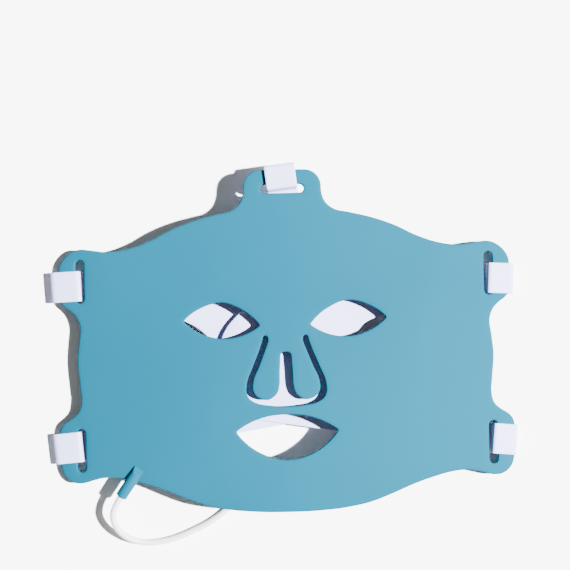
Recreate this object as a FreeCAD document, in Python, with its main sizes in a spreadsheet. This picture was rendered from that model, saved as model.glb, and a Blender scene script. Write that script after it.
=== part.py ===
import FreeCAD, Part
import math
import os
import Sketcher
from FreeCAD import Vector

# A soft light therapy face mask, lying face up. Millimetres.
# +Z leaves the front of the mask, +Y runs to the forehead, +X to the right.
# The sheet is a shallow dome: a slice of a large torus, so that every layer is an even thickness.

doc = FreeCAD.newDocument("LightMask")
sheet = doc.addObject("Spreadsheet::Sheet", "dims")
dimensions = {
    "centreShift": 1.6,        # moves the drawing so that the box is centred on the origin
    "crownHeight": 25.5,       # highest point of the front face above the table
    "wrapRadius": 530,         # curve across the face
    "lengthRadius": 1600,      # curve from chin to forehead
    "sheetThickness": 4.0,
    "skinThickness": 1.8,      # silicone over the circuit
    "circuitThickness": 0.3,
    "lampHeight": 0.7,
    "lampWidth": 3.5,
    "lampDepth": 2.8,
    "lampPitch": 19,
    "linerThickness": 1.1,
    "rimWidth": 6,             # solid silicone round every edge
    "flapGap": 0.3,            # round knuckle of the nose flap to its seat
    "hingeHeight": 1.6,        # drawing Y of the nose flap's hinge line
    "hingeHalfWidth": 10.75,
    "slotWidth": 5.4,
    "slotLength": 26.5,
    "strapWidth": 18.5,
    "strapThickness": 0.9,
    "sleeveRadius": 3.45,
    "sleeveLength": 21,
    "cableRadius": 1.9,
    "coilOuter": 28.6,
    "coilInner": 13.2,
    "coilHeight": 7.6,
    "tieThickness": 0.6,
    "tieWidth": 7,
    "bootLength": 7,
    "plugLength": 18,
    "plugWidth": 11,
    "plugHeight": 6,
    "shellLength": 6.6,
    "shellWidth": 8.3,
    "shellHeight": 2.4,
}
for row, (name, value) in enumerate(dimensions.items(), start=1):
    sheet.set(f"A{row}", name)
    sheet.set(f"B{row}", str(value))
    sheet.setAlias(f"B{row}", name)
doc.recompute()
val = {name: float(getattr(sheet, name)) for name in dimensions}
subParts = []

# Outlines of the right half: x, y, and where it matters the heading in degrees ("corner" = sharp).
maskOutline = [
    (0, 103.4, 0), (13.7, 103.4, 0), (23.7, 93.4, -90), (24.2, 87.5), (26.6, 82.6), (31, 79.2),
    (40, 77), (54, 73.6), (68, 68.6), (81.6, 62), (94.9, 57.6), (108, 56.1), (117.5, 57.5),
    (124, 58.3, 0), (134.3, 53.6), (138.4, 45, -90), (138.5, 29, -90), (136.2, 24.4),
    (131.5, 20.8), (127.6, 16.8), (125.4, 11), (126.3, 1), (127.4, -11, -90), (126.2, -26),
    (125.6, -35), (127.4, -41.3), (132, -45.2), (137.4, -48.9), (139.7, -54, -90),
    (139.3, -73.5, -92), (137, -80.5), (132, -84.5), (126.8, -85.2, 180), (120, -83.6),
    (113, -81.9), (107, -81.6), (98, -82.8), (88, -85.4), (77, -89), (64, -94.3),
    (50.6, -99.2), (36, -102.2), (18, -103.9), (0, -104.3, 180),
]
eyeOutline = [
    (15.3, 9.2, "corner"), (26.5, 19.2), (38.9, 23.5, 0), (50.5, 20.6), (61.6, 12.7, "corner"),
    (50.5, 4.8), (37, 1.6, 180), (25.5, 3.6),
]
mouthOutline = [(0, -45, 0), (14, -46.6), (31, -55, "corner"), (17, -67.8), (0, -72.5, 180)]
noseOutline = [
    (0, 1.6, 0), (10.75, 1.6, "corner"), (12.2, 3.05, 0), (13.65, 1.6, -90), (15.3, -4.2),
    (19.4, -14.4), (24, -27.3), (24.1, -31.6), (22.4, -35.2), (18.8, -37.6), (10, -39.5), (0, -40.1, 180),
]
flapOutline = [
    (0, 1.6, 0), (10.35, 1.6, "corner"), (10.85, -1), (12.2, -4.6), (16, -14.4), (20.2, -24.6),
    (20.6, -29.5), (18.9, -33.2), (15.4, -35.4), (11.5, -36.1, 180), (8, -34.6), (5.2, -31.6),
    (4.1, -27.5), (3.7, -19), (3.2, -9.4, 90), (2.3, -7.6), (1.2, -7.1, 180), (0, -7.1, 180),
]
slotCentres = {
    "upper_left": (-125, 38.5), "upper_right": (125, 38.5),
    "lower_left": (-126.2, -65), "lower_right": (126.2, -65), "top": (0, 91.8),
}


def heading(a, b):
    return math.atan2(b[1] - a[1], b[0] - a[0])


def distance(a, b):
    return math.hypot(b[0] - a[0], b[1] - a[1])


def turnBetween(first, second):
    return (second - first + math.pi) % (2 * math.pi) - math.pi


def pointHeadings(points):
    # heading into and out of each point of a ring; free ones follow the circle through three points
    count = len(points)
    result = []
    for i, point in enumerate(points):
        before = points[i - 1]
        after = points[(i + 1) % count]
        given = point[2] if len(point) > 2 else None
        first = heading(before, point)
        second = heading(point, after)
        share = distance(before, point) / (distance(before, point) + distance(point, after))
        free = first + turnBetween(first, second) * share
        if given == "corner":
            result.append(None)
        elif given is None:
            result.append((free, free))
        else:
            result.append((math.radians(given), math.radians(given)))
    for i, point in enumerate(points):
        if result[i] is None:
            into = 2 * heading(points[i - 1], point) - result[i - 1][1]
            after = (i + 1) % count
            result[i] = (into, 2 * heading(point, points[after]) - result[after][0])
    return result


def arcEdge(start, startHeading, end):
    # the arc that leaves start along startHeading and reaches end
    half = turnBetween(startHeading, heading(start, end))
    a = Vector(start[0], start[1], 0)
    b = Vector(end[0], end[1], 0)
    if abs(half) < 1e-4:
        return Part.LineSegment(a, b)
    radius = distance(start, end) / (2 * math.sin(half))
    centre = a + Vector(-math.sin(startHeading), math.cos(startHeading), 0) * radius
    angleA = math.atan2(a.y - centre.y, a.x - centre.x)
    angleB = angleA + 2 * half
    circle = Part.Circle(centre, Vector(0, 0, 1), abs(radius))
    return Part.ArcOfCircle(circle, min(angleA, angleB), max(angleA, angleB))


def fairRing(points):
    # a smooth closed line through the points: two tangent arcs from each point to the next
    headings = pointHeadings(points)
    edges = []
    for i, start in enumerate(points):
        after = (i + 1) % len(points)
        end = points[after]
        out = headings[i][1]
        into = headings[after][0]
        chord = heading(start, end)
        span = distance(start, end)
        if abs(turnBetween(out, chord)) < 1e-3 and abs(turnBetween(chord, into)) < 1e-3:
            edges.append(arcEdge(start, chord, end))
            continue
        along = math.cos(out - chord) + math.cos(into - chord)
        bend = 2 * (1 - math.cos(out - into))
        if bend < 1e-9:
            reach = span / (2 * along)
        else:
            reach = span * (-along + math.sqrt(along * along + bend)) / bend
        middle = (
            (start[0] + end[0] + reach * (math.cos(out) - math.cos(into))) / 2,
            (start[1] + end[1] + reach * (math.sin(out) - math.sin(into))) / 2,
        )
        edges.append(arcEdge(start, out, middle))
        edges.append(arcEdge(middle, 2 * heading(start, middle) - out, end))
    return edges


def leftOf(points):
    # the same line on the left side, run through from its other end
    turned = []
    for point in reversed(points):
        steer = [] if len(point) < 3 else [point[2] if point[2] == "corner" else -point[2]]
        turned.append((-point[0], point[1], *steer))
    return turned


def mirrored(half):
    # closes a right half on the centre line with its own left half
    return half + [point for point in leftOf(half) if point[0] != 0]


def sketchOf(name, rings, height=0):
    sketch = doc.addObject("Sketcher::SketchObject", name)
    for edges in rings:
        sketch.addGeometry(edges, False)
    sketch.Placement = FreeCAD.Placement(Vector(0, 0, height), FreeCAD.Rotation())
    return sketch


def prism(name, rings):
    # an upright block of the drawn outline, tall enough to pass through the whole dome
    block = doc.addObject("Part::Extrusion", name)
    block.Base = sketchOf(name + "Sketch", rings)
    block.DirMode = "Custom"
    block.Dir = Vector(0, 0, 1)
    block.setExpression("LengthFwd", "dims.crownHeight * 2")
    block.setExpression("LengthRev", "dims.crownHeight")
    block.Solid = True
    return block


def stadium(centre, alongX):
    # a strap slot with round ends
    radius = val["slotWidth"] / 2
    straight = val["slotLength"] / 2 - radius
    x, y = centre
    edges = []
    for side in (1, -1):
        if alongX:
            start = Vector(x - side * straight, y + side * radius, 0)
            end = Vector(x + side * straight, y + side * radius, 0)
            hub = Vector(x + side * straight, y, 0)
            first = -90 if side > 0 else 90
        else:
            start = Vector(x + side * radius, y + side * straight, 0)
            end = Vector(x + side * radius, y - side * straight, 0)
            hub = Vector(x, y + side * straight, 0)
            first = 0 if side > 0 else 180
        edges.append(Part.LineSegment(start, end))
        circle = Part.Circle(hub, Vector(0, 0, 1), radius)
        edges.append(Part.ArcOfCircle(circle, math.radians(first), math.radians(first + 180)))
    return edges


def domeLayer(name, topOffset, thickness):
    # a slice of the dome between two depths under its front face
    profile = doc.addObject("Sketcher::SketchObject", name + "Profile")
    centre = Vector(0, val["crownHeight"] - val["wrapRadius"], 0)
    halfAngle = math.asin(150 / val["wrapRadius"])
    quarter = math.pi / 2
    arcs = []
    for depth in (topOffset, topOffset + thickness):
        circle = Part.Circle(centre, Vector(0, 0, 1), val["wrapRadius"] - depth)
        arcs.append(Part.ArcOfCircle(circle, quarter - halfAngle, quarter + halfAngle))
    ends = [Part.LineSegment(arcs[0].EndPoint, arcs[1].EndPoint)]
    ends.append(Part.LineSegment(arcs[1].StartPoint, arcs[0].StartPoint))
    profile.addGeometry(arcs + ends, False)
    profile.Placement = FreeCAD.Placement(Vector(), FreeCAD.Rotation(Vector(1, 0, 0), 90))
    layer = doc.addObject("Part::Revolution", name)
    layer.Source = profile
    layer.Axis = Vector(1, 0, 0)
    layer.setExpression("Base.z", "dims.crownHeight - dims.lengthRadius")
    layer.Angle = 9
    layer.Symmetric = True
    layer.Solid = True
    return layer


def boolean(kind, name, base, tool):
    result = doc.addObject("Part::" + kind, name)
    result.Base = base
    result.Tool = tool
    return result


def finish(item, label):
    # names the piece and moves it from the drawing to the part's own frame
    item.Label = label
    item.setExpression("Placement.Base.y", f"{item.Placement.Base.y} - dims.centreShift")
    subParts.append(item)
    return item


def surfaceHeight(x, y):
    across = val["wrapRadius"] - math.sqrt(val["wrapRadius"] ** 2 - x * x)
    along = val["lengthRadius"] - across
    return val["crownHeight"] - val["lengthRadius"] + math.sqrt(along * along - y * y)


def cylinder(name, radius, length, at, direction):
    shape = doc.addObject("Part::Cylinder", name)
    shape.setExpression("Radius", radius)
    shape.setExpression("Height", length)
    shape.Placement = FreeCAD.Placement(at, FreeCAD.Rotation(Vector(0, 0, 1), direction))
    return shape


def openingRings():
    outlines = [eyeOutline, leftOf(eyeOutline), mirrored(mouthOutline), mirrored(noseOutline)]
    return [fairRing(points) for points in outlines]


slotRings = [stadium(centre, name == "top") for name, centre in slotCentres.items()]
hingeLevel = surfaceHeight(0, val["hingeHeight"]) - val["sheetThickness"] / 2
hingeCentre = Vector(-val["hingeHalfWidth"], val["hingeHeight"], hingeLevel)
sleeveTop = Vector(-90.3, -76.1, 14.8)
sleeveAxis = Vector(-0.575, -0.818, -0.03).normalize()
wireAxis = Vector(-0.575, -0.818, -0.147).normalize()


def pocketFace(inset):
    # the room for the circuit: the outline less its rim, less a rim round every opening
    wires = []
    for edges in [fairRing(mirrored(maskOutline))] + openingRings() + slotRings:
        wires.append(Part.Wire(Part.__sortEdges__([edge.toShape() for edge in edges])))
    face = Part.Face(wires[0]).makeOffset2D(-inset, 0)
    for wire in wires[1:]:
        face = face.cut(Part.Face(wire).makeOffset2D(inset, 0))
    return max(face.Faces, key=lambda part: part.Area)


def pocketPrism(name, inset):
    block = doc.addObject("Part::Feature", name)
    face = pocketFace(inset)
    block.Shape = face.extrude(Vector(0, 0, 2 * val["crownHeight"]))
    return block


def sleeveChannel():
    # the groove that the sleeve is sunk in
    return cylinder("sleeveChannel", "dims.sleeveRadius", "dims.sleeveLength * 1.2", sleeveTop, sleeveAxis)


def makeCover():
    layer = domeLayer("coverLayer", 0, val["sheetThickness"])
    outer = boolean("Common", "coverOutline", layer, prism("outlineBlock", [fairRing(mirrored(maskOutline))]))
    holes = prism("openingBlock", openingRings() + slotRings)
    cover = boolean("Cut", "coverOpenings", outer, holes)
    seat = cylinder("hingeSeat", "dims.sheetThickness / 2 + dims.flapGap", "dims.hingeHalfWidth * 2",
                    hingeCentre, Vector(1, 0, 0))
    cover = boolean("Cut", "coverHinge", cover, seat)
    roomLayer = domeLayer("roomLayer", val["skinThickness"], val["sheetThickness"])
    room = boolean("Common", "circuitRoom", roomLayer, pocketPrism("roomBlock", val["rimWidth"]))
    cover = boolean("Cut", "coverRoom", cover, room)
    finish(boolean("Cut", "frontCover", cover, sleeveChannel()), "front_cover")


def makeFlap():
    layer = domeLayer("flapLayer", 0, val["sheetThickness"])
    flap = boolean("Common", "flapSheet", layer, prism("flapBlock", [fairRing(mirrored(flapOutline))]))
    knuckle = cylinder("flapKnuckle", "dims.sheetThickness / 2", "dims.hingeHalfWidth * 2 - dims.flapGap",
                       hingeCentre + Vector(val["flapGap"] / 2, 0, 0), Vector(1, 0, 0))
    finish(boolean("Fuse", "noseFlap", flap, knuckle), "nose_flap")


def makeLayers():
    # the circuit film and the clear liner fill the room under the cover's skin
    circuitTop = val["skinThickness"] + 0.02
    circuit = boolean("Common", "flexCircuit", domeLayer("circuitLayer", circuitTop, val["circuitThickness"]),
                      pocketPrism("circuitBlock", val["rimWidth"] + 1))
    finish(boolean("Cut", "circuitChannel", circuit, sleeveChannel()), "flex_circuit")
    linerTop = val["sheetThickness"] - val["linerThickness"]
    liner = boolean("Common", "faceLiner", domeLayer("linerLayer", linerTop, val["linerThickness"]),
                    pocketPrism("linerBlock", val["rimWidth"] + 0.2))
    finish(boolean("Cut", "linerChannel", liner, sleeveChannel()), "face_liner")


def lampPlaces():
    # a staggered grid, kept where a lamp fits well inside the circuit
    face = pocketFace(val["rimWidth"] + 4)
    pitch = val["lampPitch"]
    places = []
    for rowNumber in range(-6, 7):
        for column in range(-8, 9):
            x = (column + 0.5 * (rowNumber % 2)) * pitch
            y = rowNumber * pitch * 0.8
            clearOfSleeve = math.hypot(x - sleeveTop.x, y - sleeveTop.y) > 12
            if clearOfSleeve and face.isInside(Vector(x, y, 0), 0.01, True):
                places.append((x, y))
    return places


def placedBox(width, depth, height, x, y, below):
    # a small block lying flat against a layer of the dome
    normal = Vector(x / val["wrapRadius"], y / val["lengthRadius"], 1).normalize()
    box = Part.makeBox(width, depth, height, Vector(-width / 2, -depth / 2, -height))
    point = Vector(x, y, surfaceHeight(x, y)) - normal * below
    box.Placement = FreeCAD.Placement(point, FreeCAD.Rotation(Vector(0, 0, 1), normal))
    return box


def makeGroup(name, label, solids):
    group = doc.addObject("Part::Feature", name)
    group.Shape = Part.makeCompound(solids)
    finish(group, label)


def makeLamps():
    depth = val["skinThickness"] + val["circuitThickness"] + 0.04
    kinds = {"red_lamps": [], "infrared_lamps": []}
    resistors = []
    for number, (x, y) in enumerate(lampPlaces()):
        label = "red_lamps" if number % 2 == 0 else "infrared_lamps"
        kinds[label].append(placedBox(val["lampWidth"], val["lampDepth"], val["lampHeight"], x, y, depth))
        if number % 4 == 0:
            resistors.append(placedBox(1.6, 0.8, 0.5, x + 5, y, depth))
    for label, solids in kinds.items():
        makeGroup(label.replace("_", ""), label, solids)
    makeGroup("resistorGroup", "resistors", resistors)


def filletedPath(points, radiusAt):
    # straight runs joined by tangent arcs
    edges = []
    last = points[0]
    for i in range(1, len(points) - 1):
        before, corner, after = points[i - 1], points[i], points[i + 1]
        back = (before - corner).normalize()
        ahead = (after - corner).normalize()
        turn = math.pi - back.getAngle(ahead)
        radius = radiusAt(i, turn)
        cut = radius * math.tan(turn / 2)
        start = corner + back * cut
        end = corner + ahead * cut
        middle = corner + (back + ahead).normalize() * (radius / math.cos(turn / 2) - radius)
        if (start - last).Length > 1e-6:
            edges.append(Part.LineSegment(last, start))
        edges.append(Part.Arc(start, middle, end))
        last = end
    edges.append(Part.LineSegment(last, points[-1]))
    return edges


def planeOf(body, role):
    return next(plane for plane in body.Origin.OriginFeatures if plane.Role == role)


def bandBody(name, label, path, radius, place, turn):
    # a flat band swept along a path in the body's XZ plane; the path starts level
    body = doc.addObject("PartDesign::Body", name)
    spine = body.newObject("Sketcher::SketchObject", name + "Path")
    spine.AttachmentSupport = [(planeOf(body, "XZ_Plane"), "")]
    spine.MapMode = "FlatFace"
    corners = [Vector(x, z, 0) for x, z in path]
    spine.addGeometry(filletedPath(corners, lambda i, angle: radius), False)
    section = body.newObject("Sketcher::SketchObject", name + "Section")
    section.AttachmentSupport = [(planeOf(body, "YZ_Plane"), "")]
    section.MapMode = "FlatFace"
    section.AttachmentOffset = FreeCAD.Placement(Vector(0, path[0][1], path[0][0]), FreeCAD.Rotation())
    halfWidth = val["strapWidth"] / 2
    halfThick = val["strapThickness"] / 2
    corners = [Vector(-halfWidth, -halfThick, 0), Vector(halfWidth, -halfThick, 0),
               Vector(halfWidth, halfThick, 0), Vector(-halfWidth, halfThick, 0)]
    section.addGeometry([Part.LineSegment(corners[i], corners[(i + 1) % 4]) for i in range(4)], False)
    for i in range(4):
        section.addConstraint(Sketcher.Constraint("Coincident", i, 2, (i + 1) % 4, 1))
        section.addConstraint(Sketcher.Constraint("Horizontal" if i % 2 == 0 else "Vertical", i))
    wide = section.addConstraint(Sketcher.Constraint("DistanceX", 0, 1, 0, 2, 2 * halfWidth))
    thick = section.addConstraint(Sketcher.Constraint("DistanceY", 1, 1, 1, 2, 2 * halfThick))
    section.addConstraint(Sketcher.Constraint("Symmetric", 0, 1, 2, 1, -1, 1))
    section.setExpression(f"Constraints[{wide}]", "dims.strapWidth")
    section.setExpression(f"Constraints[{thick}]", "dims.strapThickness")
    pipe = body.newObject("PartDesign::AdditivePipe", name + "Sweep")
    pipe.Profile = section
    pipe.Spine = spine
    body.Placement = FreeCAD.Placement(place, FreeCAD.Rotation(Vector(0, 0, 1), turn))
    finish(body, label)


def makeStraps():
    # webbing folded round the rim beside each slot: a layer under the sheet, one over it, one back below
    half = val["strapThickness"] / 2
    ears = {
        # level: centre y at the rim, turn outwards-down, outline x of the ear, slot x
        "upper": (35.4, 3.0, 138.5, 125.0),
        "lower": (-62.6, 5.5, 139.6, 126.2),
    }
    for level, (y, tilt, edge, slot) in ears.items():
        for side, sign in (("left", -1), ("right", 1)):
            outer = edge + 2.5 - slot
            topOuter = surfaceHeight(edge, y) + half + 0.45
            topInner = surfaceHeight(slot, y) + half + 0.8
            path = [(-14, half), (outer, half), (outer, topOuter), (0.6, topInner)]
            path += [(-0.6, 3 * half + 0.5), (-12, 3 * half + 0.3)]
            turn = -tilt if sign > 0 else 180 + tilt
            place = Vector(sign * (slot - 0.4), y, 0)
            bandBody(f"{level}{side}Loop", f"{level}_{side}_loop", path, 1.0, place, turn)
    slotY = slotCentres["top"][1]
    edgeY = maskOutline[0][1]
    above = surfaceHeight(0, edgeY)
    below = above - val["sheetThickness"]
    outer = edgeY + 2.6 - slotY
    path = [(-13, below - 1.2), (outer, below - 1.2), (outer, above + half + 0.5)]
    path += [(0.6, surfaceHeight(0, slotY) + half + 0.75), (-0.8, below + half - 0.4), (-12, below)]
    bandBody("topLoop", "top_loop", path, 1.0, Vector(0.1, slotY, 0), 96.5)


def makeRuns():
    # the long straps: from under each ear they climb to the middle, behind the face
    half = val["strapThickness"] / 2
    low = 4 * half + 0.9
    for level, start, y, tilt, reach, tops in (
        ("lower", 112.5, -60.2, 9.2, 134, {"right": 9.6, "left": 8.2}),
        ("upper", 110.5, 35.4, -1.5, 58, {"right": 11.2, "left": 9.7}),
    ):
        for side, sign in (("left", -1), ("right", 1)):
            top = tops[side] - half
            path = [(0, low), (7, low), (44, top), (reach, top)]
            turn = 180 - tilt if sign > 0 else tilt
            bandBody(f"{level}{side}Run", f"{level}_{side}_strap", path, 12, Vector(sign * start, y, 0), turn)
    path = [(0, 15.6), (6, 15.6), (30, 14.1), (46, 14.1)]
    bandBody("topRun", "top_strap", path, 20, Vector(0.1, 77.5, 0), -88)


def makeHeadBands():
    # the wide halves of the rear band, one over the other
    right = [
        (84, 44.8, "corner"), (60, 38.5), (30, 34), (0, 33), (-17, 27), (-25.5, 18.8), (-30.8, 13.9),
        (-35.6, 8.1), (-38.6, 1.9), (-39.6, -8), (-36, -22), (-26, -37), (-12, -41.5, 0), (8, -42, 0),
        (23, -37), (32, -24), (37, -8), (42, 2.2), (44, 4.3), (48.2, 9.1), (54.6, 12.4), (59.4, 14),
        (72, 19), (84, 24.6, "corner"), (85.5, 34.6, 90),
    ]
    left = [
        (-84, 24.6, "corner"), (-72, 18.5), (-61, 12.8), (-54, 9), (-48, 3.9), (-42, -3), (-33, -12),
        (-20, -18), (0, -20, 0), (14, -15), (20, -4), (20, 10), (12, 22), (-4, 29, 176), (-30, 34),
        (-60, 38.5), (-84, 44.8, "corner"), (-85.5, 34.6, -90),
    ]
    for label, ring, height in (("right_head_band", right, 12.3), ("left_head_band", left, 10.8)):
        name = label.replace("_", "")
        body = doc.addObject("PartDesign::Body", name)
        outline = body.newObject("Sketcher::SketchObject", name + "Outline")
        outline.AttachmentSupport = [(planeOf(body, "XY_Plane"), "")]
        outline.MapMode = "FlatFace"
        outline.AttachmentOffset = FreeCAD.Placement(Vector(0, 0, height), FreeCAD.Rotation())
        outline.addGeometry(fairRing(ring), False)
        pad = body.newObject("PartDesign::Pad", name + "Pad")
        pad.Profile = outline
        pad.setExpression("Length", "dims.strapThickness")
        finish(body, label)


# the cable's middle line, from the sleeve to the coil and from the coil to the plug
cableRoute = [
    (-102.4, -93.3, 14.2), (-108, -101.3, 13.4), (-107, -111.2, 10.2), (-101.2, -118.2, 6.4),
    (-93, -122, 3.4), (-82.5, -122.9, 2.1), (-70.8, -120.6, 1.95), (-58.8, -115.9, 1.95),
    (-46.5, -109.8, 1.95), (-36.5, -101.8, 1.95), (-24, -93.5, 1.95), (-9, -89.3, 1.95),
    (8.5, -87.6, 1.95), (25, -83.4, 1.95), (38, -73.3, 1.95), (46.6, -60, 1.95),
    (53.5, -46.5, 1.95), (57.2, -31.5, 2.1), (57.6, -17.5, 2.5),
]
plugRoute = [
    (84, -41.9, 2.5), (70.5, -43.2, 2.1), (59.5, -50.2, 1.95), (55, -61.7, 1.95),
    (59.5, -71.8, 2.4), (69.5, -76, 3), (77, -76.2, 3),
]
coilCentre = Vector(84, -15, 0)


def cableTube(name, route):
    points = [Vector(*point) for point in route]

    def largest(i, turn):
        shorter = min((points[i] - points[i - 1]).Length, (points[i + 1] - points[i]).Length)
        return 0.45 * shorter / math.tan(turn / 2)

    edges = [edge.toShape() for edge in filletedPath(points, largest)]
    radii = [round(edge.Curve.Radius, 1) for edge in edges if isinstance(edge.Curve, Part.Circle)]
    spine = Part.Wire(edges)
    circle = Part.Circle(points[0], points[1] - points[0], val["cableRadius"]).toShape()
    tube = spine.makePipeShell([Part.Wire(circle)], True, False)
    expected = math.pi * val["cableRadius"] ** 2 * spine.Length
    ratio = round(tube.Volume / expected, 4)
    print(name, "length", round(spine.Length), "radii", radii, "volume ratio", ratio)
    return tube


def makeCable():
    tubes = [cableTube("main run", cableRoute), cableTube("plug run", plugRoute)]
    makeGroup("powerCable", "power_cable", tubes)
    base = Vector(coilCentre.x, coilCentre.y, val["tieThickness"])
    up = Vector(0, 0, 1)
    outer = cylinder("coilOutside", "dims.coilOuter", "dims.coilHeight", base, up)
    inner = cylinder("coilInside", "dims.coilInner", "dims.coilHeight", base, up)
    finish(boolean("Cut", "cableCoil", outer, inner), "cable_coil")
    # the tie is a flat ring round the coil's section, at the coil's upper side
    left = coilCentre.x - val["tieWidth"] / 2
    near = coilCentre.y + val["coilInner"]
    boxes = []
    for name, wall in (("tieOutside", val["tieThickness"]), ("tieInside", 0)):
        box = doc.addObject("Part::Box", name)
        box.setExpression("Length", "dims.tieWidth")
        box.setExpression("Width", f"dims.coilOuter - dims.coilInner + {2 * wall}")
        box.setExpression("Height", f"dims.coilHeight + {2 * wall}")
        box.Placement.Base = Vector(left, near - wall, val["tieThickness"] - wall)
        boxes.append(box)
    finish(boolean("Cut", "cableTie", boxes[0], boxes[1]), "cable_tie")


def roundedBox(name, length, width, height, at, radius):
    box = doc.addObject("Part::Box", name + "Block")
    box.setExpression("Length", length)
    box.setExpression("Width", width)
    box.setExpression("Height", height)
    box.Placement.Base = at
    doc.recompute()
    soft = doc.addObject("Part::Fillet", name)
    soft.Base = box
    soft.Edges = [
        (i + 1, radius, radius)
        for i, edge in enumerate(box.Shape.Edges)
        if abs(edge.tangentAt(edge.FirstParameter).x) > 0.9
    ]
    return soft


def makePlug():
    rear = Vector(77, -76.2, 3)
    halfWide = val["plugWidth"] / 2
    boot = doc.addObject("Part::Cone", "plugBoot")
    boot.setExpression("Radius1", "dims.cableRadius + 0.35")
    boot.setExpression("Radius2", "dims.plugHeight / 2 - 0.1")
    boot.setExpression("Height", "dims.bootLength")
    boot.Placement = FreeCAD.Placement(rear, FreeCAD.Rotation(Vector(0, 0, 1), Vector(1, 0, 0)))
    finish(boot, "plug_boot")
    start = rear.x + val["bootLength"]
    body = roundedBox("plugBody", "dims.plugLength", "dims.plugWidth", "dims.plugHeight",
                      Vector(start, rear.y - halfWide, 0), 2.4)
    finish(body, "plug_body")
    front = start + val["plugLength"]
    corner = Vector(front, rear.y - val["shellWidth"] / 2, rear.z - val["shellHeight"] / 2)
    sides = ("dims.shellLength", "dims.shellWidth", "dims.shellHeight")
    shell = roundedBox("plugShellOuter", *sides, corner, 1.15)
    mouth = doc.addObject("Part::Box", "shellMouth")
    mouth.setExpression("Length", "dims.shellLength")
    mouth.setExpression("Width", "dims.shellWidth - 1.4")
    mouth.setExpression("Height", "dims.shellHeight - 0.7")
    mouth.Placement.Base = corner + Vector(0.6, 0.7, 0.35)
    finish(boolean("Cut", "plugShell", shell, mouth), "plug_shell")
    contacts = []
    for level in (-1, 1):
        for i in range(10):
            y = rear.y + (i - 4.5) * 0.6
            at = Vector(front + 0.7, y - 0.14, rear.z - 0.1 + level * 0.72)
            contacts.append(Part.makeBox(4, 0.28, 0.2, at))
    makeGroup("plugContacts", "plug_contacts", contacts)


def makeSleeve():
    # the strain relief, and the lead's two wires running from it to their solder tabs on the circuit
    sleeve = cylinder("sleeveBody", "dims.sleeveRadius", "dims.sleeveLength", sleeveTop, sleeveAxis)
    finish(sleeve, "cable_sleeve")
    leaves = sleeveTop + sleeveAxis * val["sleeveLength"]
    print("sleeve exit", [round(v, 2) for v in leaves])
    across = Vector(-wireAxis.y, wireAxis.x, 0)
    wires = []
    tabs = []
    depth = val["skinThickness"] + val["circuitThickness"] + 0.03
    for side in (-1, 1):
        start = sleeveTop + across * side * 1.2 + Vector(0, 0, -1.3)
        wires.append(Part.makeCylinder(0.35, 10, start, wireAxis * -1))
        end = start - wireAxis * 9
        tabs.append(placedBox(1.6, 1.6, 0.25, end.x, end.y, depth))
    makeGroup("leadWires", "lead_wires", wires)
    makeGroup("solderTabs", "solder_tabs", tabs)


doc.recompute()
makeCover()
makeFlap()
makeLayers()
makeLamps()
makeStraps()
makeRuns()
makeHeadBands()
makeSleeve()
makeCable()
makePlug()
doc.recompute()

os.makedirs("parts", exist_ok=True)
for item in doc.Objects:
    if "Invalid" in item.State or "Error" in item.State:
        raise RuntimeError(f"{item.Name} failed: {item.State}")
for item in subParts:
    item.Shape.tessellate(0.5)
    if item.Shape.isNull() or not item.Shape.isValid():
        raise RuntimeError(f"{item.Label} has no valid shape")
    box = item.Shape.BoundBox
    sides = [round(v, 1) for v in (box.XMin, box.XMax, box.YMin, box.YMax, box.ZMin, box.ZMax)]
    print(item.Label, len(item.Shape.Solids), round(item.Shape.Volume), sides)
    item.Shape.exportStep(f"parts/{item.Label}.step")
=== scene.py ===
import bpy, bmesh, math
import numpy as np
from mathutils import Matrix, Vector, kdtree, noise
from mathutils.geometry import delaunay_2d_cdt


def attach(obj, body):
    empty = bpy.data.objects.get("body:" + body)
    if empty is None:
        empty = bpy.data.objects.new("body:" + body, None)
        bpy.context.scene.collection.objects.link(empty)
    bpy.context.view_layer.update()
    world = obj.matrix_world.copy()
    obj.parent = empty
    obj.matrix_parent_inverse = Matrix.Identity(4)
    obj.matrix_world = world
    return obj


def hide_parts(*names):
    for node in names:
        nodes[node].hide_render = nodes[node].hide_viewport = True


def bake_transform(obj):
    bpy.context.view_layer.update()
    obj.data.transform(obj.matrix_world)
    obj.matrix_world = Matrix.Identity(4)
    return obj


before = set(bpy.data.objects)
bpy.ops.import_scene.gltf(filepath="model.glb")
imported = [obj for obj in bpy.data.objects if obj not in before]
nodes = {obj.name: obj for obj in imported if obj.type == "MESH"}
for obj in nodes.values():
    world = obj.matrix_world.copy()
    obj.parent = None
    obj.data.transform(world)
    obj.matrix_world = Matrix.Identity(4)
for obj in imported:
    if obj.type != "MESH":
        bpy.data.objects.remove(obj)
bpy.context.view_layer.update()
mm = 0.001

# The front of the mask is a shallow dome; these match the design drawing.
dome = {
    "crown": 25.5 * mm,
    "acrossRadius": 530 * mm,
    "alongRadius": 1600 * mm,
    "drawingShift": 1.6 * mm,     # the drawing's own zero is this far up the face
    "thickness": 4.0 * mm,
    "roomDepth": 1.8 * mm,
}


def domeHeight(x, y, below=0.0):
    y = y + dome["drawingShift"]
    across = dome["acrossRadius"] - below
    drop = across - math.sqrt(across * across - x * x)
    along = dome["alongRadius"] - below - drop
    return dome["crown"] - dome["alongRadius"] + math.sqrt(along * along - y * y)


view = {
    "tilt": math.radians(1.28),          # the mask lies turned a little against the frame
    "aim": (0.6 * mm, 33.5 * mm),
    "span": 346.4 * mm,
    "over": -5 * mm,                     # the camera stands over the mask's middle, its picture shifted up
    "distance": 1.25,
    "level": 18 * mm,                    # the height at which the span is measured
}


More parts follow.
